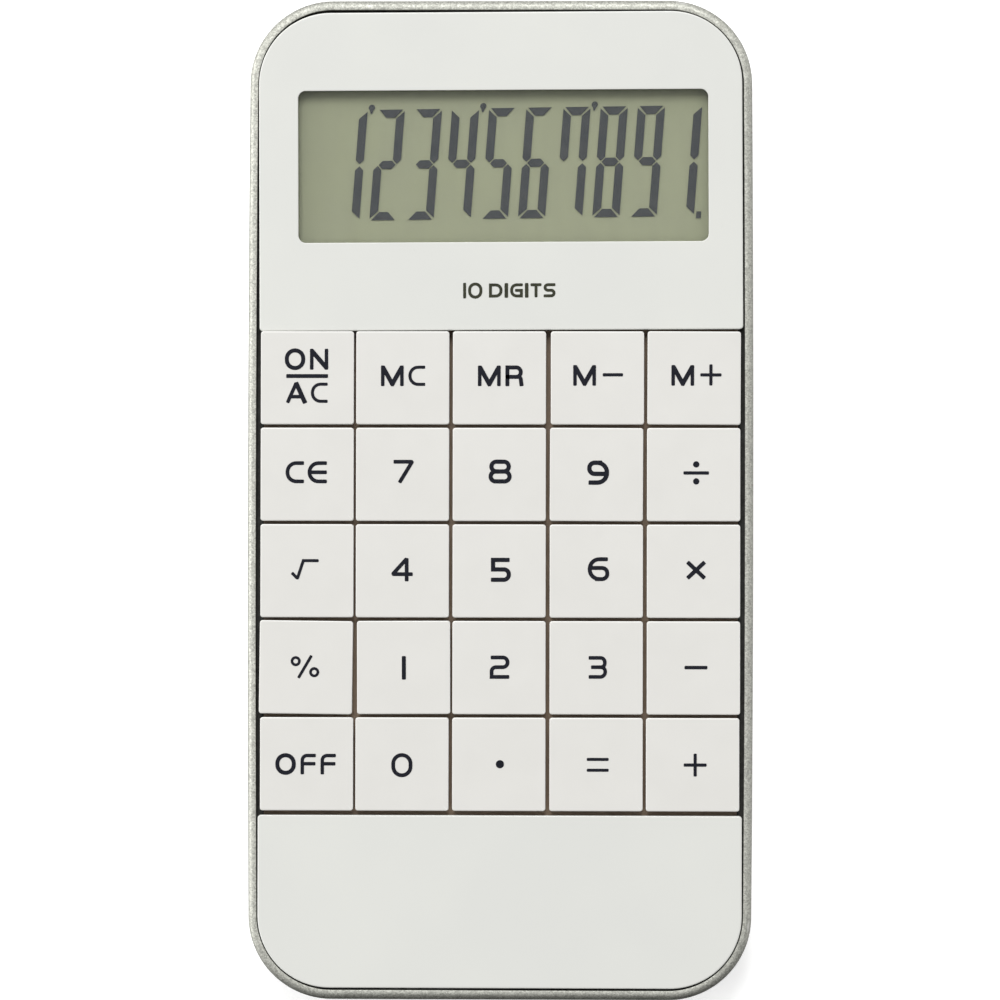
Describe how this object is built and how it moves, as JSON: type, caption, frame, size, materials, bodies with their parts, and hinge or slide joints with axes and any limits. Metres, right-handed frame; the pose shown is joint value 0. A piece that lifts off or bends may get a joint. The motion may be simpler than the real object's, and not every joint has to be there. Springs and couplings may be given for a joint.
{
  "type": "pocket calculator",
  "caption": "Slim round-cornered pocket calculator: white square push keys in a grid, LCD display above them, blank panel below, silver rim and a battery door in the back.",
  "frame": {"origin": "middle of the flat back, which the calculator lies on", "axes": "+Z out of the face, up when it lies on its back; +Y along its length towards the display; +X across, to the right when the display is read"},
  "size_m": [0.0592, 0.1168, 0.009],
  "materials": {
    "silver_paint": "silver metallic paint with fine flake",
    "white_panel": "glossy white",
    "white_key": "satin white",
    "white_back": "fine moulded texture",
    "clear_window": "clear acrylic",
    "lcd_glass": "grey-green reflective LCD",
    "lcd_film": "diffuse reflective film",
    "black_rubber": "matte",
    "grey_silicone": "matte silicone",
    "green_board": "solder mask",
    "black_resin": "cured resin",
    "tan_ceramic": "ceramic body",
    "cell_steel": "nickel-plated steel",
    "contact_metal": "nickel-plated spring steel",
    "screw_steel": "zinc plated"
  },
  "bodies": {
    "root": {"front_housing": "silver_paint", "rear_housing": "white_back", "display_panel": "white_panel", "lower_panel": "white_panel", "display_lens": "clear_window", "lcd_cell": "lcd_glass", "lcd_reflector": "lcd_film", "lcd_connector": "black_rubber", "keypad_mat": "grey_silicone", "circuit_board": "green_board", "chip_cap": "black_resin", "capacitor_1": "tan_ceramic", "capacitor_2": "tan_ceramic", "battery_cell": "cell_steel", "contact_positive": "contact_metal", "contact_negative": "contact_metal", "case_screw_1": "screw_steel", "board_screw_1": "screw_steel", "case_screw_2": "screw_steel", "board_screw_2": "screw_steel", "case_screw_3": "screw_steel", "board_screw_3": "screw_steel", "case_screw_4": "screw_steel", "board_screw_4": "screw_steel"},
    "battery_door": {"battery_door": "white_back"},
    "key_on_ac": {"key_on_ac": "white_key"},
    "key_mc": {"key_mc": "white_key"},
    "key_mr": {"key_mr": "white_key"},
    "key_m_minus": {"key_m_minus": "white_key"},
    "key_m_plus": {"key_m_plus": "white_key"},
    "key_ce": {"key_ce": "white_key"},
    "key_7": {"key_7": "white_key"},
    "key_8": {"key_8": "white_key"},
    "key_9": {"key_9": "white_key"},
    "key_divide": {"key_divide": "white_key"},
    "key_root": {"key_root": "white_key"},
    "key_4": {"key_4": "white_key"},
    "key_5": {"key_5": "white_key"},
    "key_6": {"key_6": "white_key"},
    "key_multiply": {"key_multiply": "white_key"},
    "key_percent": {"key_percent": "white_key"},
    "key_1": {"key_1": "white_key"},
    "key_2": {"key_2": "white_key"},
    "key_3": {"key_3": "white_key"},
    "key_minus": {"key_minus": "white_key"},
    "key_off": {"key_off": "white_key"},
    "key_0": {"key_0": "white_key"},
    "key_point": {"key_point": "white_key"},
    "key_equals": {"key_equals": "white_key"},
    "key_plus": {"key_plus": "white_key"}
  },
  "joints": [
    {"name": "battery_door_swing", "type": "hinge", "parent": "root", "child": "battery_door", "pos_m": [0, -0.039, 0.00065], "axis": [1, 0, 0], "range_deg": [0, 70]},
    {"name": "key_on_ac_press", "type": "slide", "parent": "root", "child": "key_on_ac", "axis": [0, 0, -1], "range_m": [0, 0.0008], "stiffness_N_per_m": 300, "springref_m": -0.001, "deforming": ["keypad_mat"]},
    {"name": "key_mc_press", "type": "slide", "parent": "root", "child": "key_mc", "axis": [0, 0, -1], "range_m": [0, 0.0008], "stiffness_N_per_m": 300, "springref_m": -0.001, "deforming": ["keypad_mat"]},
    {"name": "key_mr_press", "type": "slide", "parent": "root", "child": "key_mr", "axis": [0, 0, -1], "range_m": [0, 0.0008], "stiffness_N_per_m": 300, "springref_m": -0.001, "deforming": ["keypad_mat"]},
    {"name": "key_m_minus_press", "type": "slide", "parent": "root", "child": "key_m_minus", "axis": [0, 0, -1], "range_m": [0, 0.0008], "stiffness_N_per_m": 300, "springref_m": -0.001, "deforming": ["keypad_mat"]},
    {"name": "key_m_plus_press", "type": "slide", "parent": "root", "child": "key_m_plus", "axis": [0, 0, -1], "range_m": [0, 0.0008], "stiffness_N_per_m": 300, "springref_m": -0.001, "deforming": ["keypad_mat"]},
    {"name": "key_ce_press", "type": "slide", "parent": "root", "child": "key_ce", "axis": [0, 0, -1], "range_m": [0, 0.0008], "stiffness_N_per_m": 300, "springref_m": -0.001, "deforming": ["keypad_mat"]},
    {"name": "key_7_press", "type": "slide", "parent": "root", "child": "key_7", "axis": [0, 0, -1], "range_m": [0, 0.0008], "stiffness_N_per_m": 300, "springref_m": -0.001, "deforming": ["keypad_mat"]},
    {"name": "key_8_press", "type": "slide", "parent": "root", "child": "key_8", "axis": [0, 0, -1], "range_m": [0, 0.0008], "stiffness_N_per_m": 300, "springref_m": -0.001, "deforming": ["keypad_mat"]},
    {"name": "key_9_press", "type": "slide", "parent": "root", "child": "key_9", "axis": [0, 0, -1], "range_m": [0, 0.0008], "stiffness_N_per_m": 300, "springref_m": -0.001, "deforming": ["keypad_mat"]},
    {"name": "key_divide_press", "type": "slide", "parent": "root", "child": "key_divide", "axis": [0, 0, -1], "range_m": [0, 0.0008], "stiffness_N_per_m": 300, "springref_m": -0.001, "deforming": ["keypad_mat"]},
    {"name": "key_root_press", "type": "slide", "parent": "root", "child": "key_root", "axis": [0, 0, -1], "range_m": [0, 0.0008], "stiffness_N_per_m": 300, "springref_m": -0.001, "deforming": ["keypad_mat"]},
    {"name": "key_4_press", "type": "slide", "parent": "root", "child": "key_4", "axis": [0, 0, -1], "range_m": [0, 0.0008], "stiffness_N_per_m": 300, "springref_m": -0.001, "deforming": ["keypad_mat"]},
    {"name": "key_5_press", "type": "slide", "parent": "root", "child": "key_5", "axis": [0, 0, -1], "range_m": [0, 0.0008], "stiffness_N_per_m": 300, "springref_m": -0.001, "deforming": ["keypad_mat"]},
    {"name": "key_6_press", "type": "slide", "parent": "root", "child": "key_6", "axis": [0, 0, -1], "range_m": [0, 0.0008], "stiffness_N_per_m": 300, "springref_m": -0.001, "deforming": ["keypad_mat"]},
    {"name": "key_multiply_press", "type": "slide", "parent": "root", "child": "key_multiply", "axis": [0, 0, -1], "range_m": [0, 0.0008], "stiffness_N_per_m": 300, "springref_m": -0.001, "deforming": ["keypad_mat"]},
    {"name": "key_percent_press", "type": "slide", "parent": "root", "child": "key_percent", "axis": [0, 0, -1], "range_m": [0, 0.0008], "stiffness_N_per_m": 300, "springref_m": -0.001, "deforming": ["keypad_mat"]},
    {"name": "key_1_press", "type": "slide", "parent": "root", "child": "key_1", "axis": [0, 0, -1], "range_m": [0, 0.0008], "stiffness_N_per_m": 300, "springref_m": -0.001, "deforming": ["keypad_mat"]},
    {"name": "key_2_press", "type": "slide", "parent": "root", "child": "key_2", "axis": [0, 0, -1], "range_m": [0, 0.0008], "stiffness_N_per_m": 300, "springref_m": -0.001, "deforming": ["keypad_mat"]},
    {"name": "key_3_press", "type": "slide", "parent": "root", "child": "key_3", "axis": [0, 0, -1], "range_m": [0, 0.0008], "stiffness_N_per_m": 300, "springref_m": -0.001, "deforming": ["keypad_mat"]},
    {"name": "key_minus_press", "type": "slide", "parent": "root", "child": "key_minus", "axis": [0, 0, -1], "range_m": [0, 0.0008], "stiffness_N_per_m": 300, "springref_m": -0.001, "deforming": ["keypad_mat"]},
    {"name": "key_off_press", "type": "slide", "parent": "root", "child": "key_off", "axis": [0, 0, -1], "range_m": [0, 0.0008], "stiffness_N_per_m": 300, "springref_m": -0.001, "deforming": ["keypad_mat"]},
    {"name": "key_0_press", "type": "slide", "parent": "root", "child": "key_0", "axis": [0, 0, -1], "range_m": [0, 0.0008], "stiffness_N_per_m": 300, "springref_m": -0.001, "deforming": ["keypad_mat"]},
    {"name": "key_point_press", "type": "slide", "parent": "root", "child": "key_point", "axis": [0, 0, -1], "range_m": [0, 0.0008], "stiffness_N_per_m": 300, "springref_m": -0.001, "deforming": ["keypad_mat"]},
    {"name": "key_equals_press", "type": "slide", "parent": "root", "child": "key_equals", "axis": [0, 0, -1], "range_m": [0, 0.0008], "stiffness_N_per_m": 300, "springref_m": -0.001, "deforming": ["keypad_mat"]},
    {"name": "key_plus_press", "type": "slide", "parent": "root", "child": "key_plus", "axis": [0, 0, -1], "range_m": [0, 0.0008], "stiffness_N_per_m": 300, "springref_m": -0.001, "deforming": ["keypad_mat"]}
  ]
}
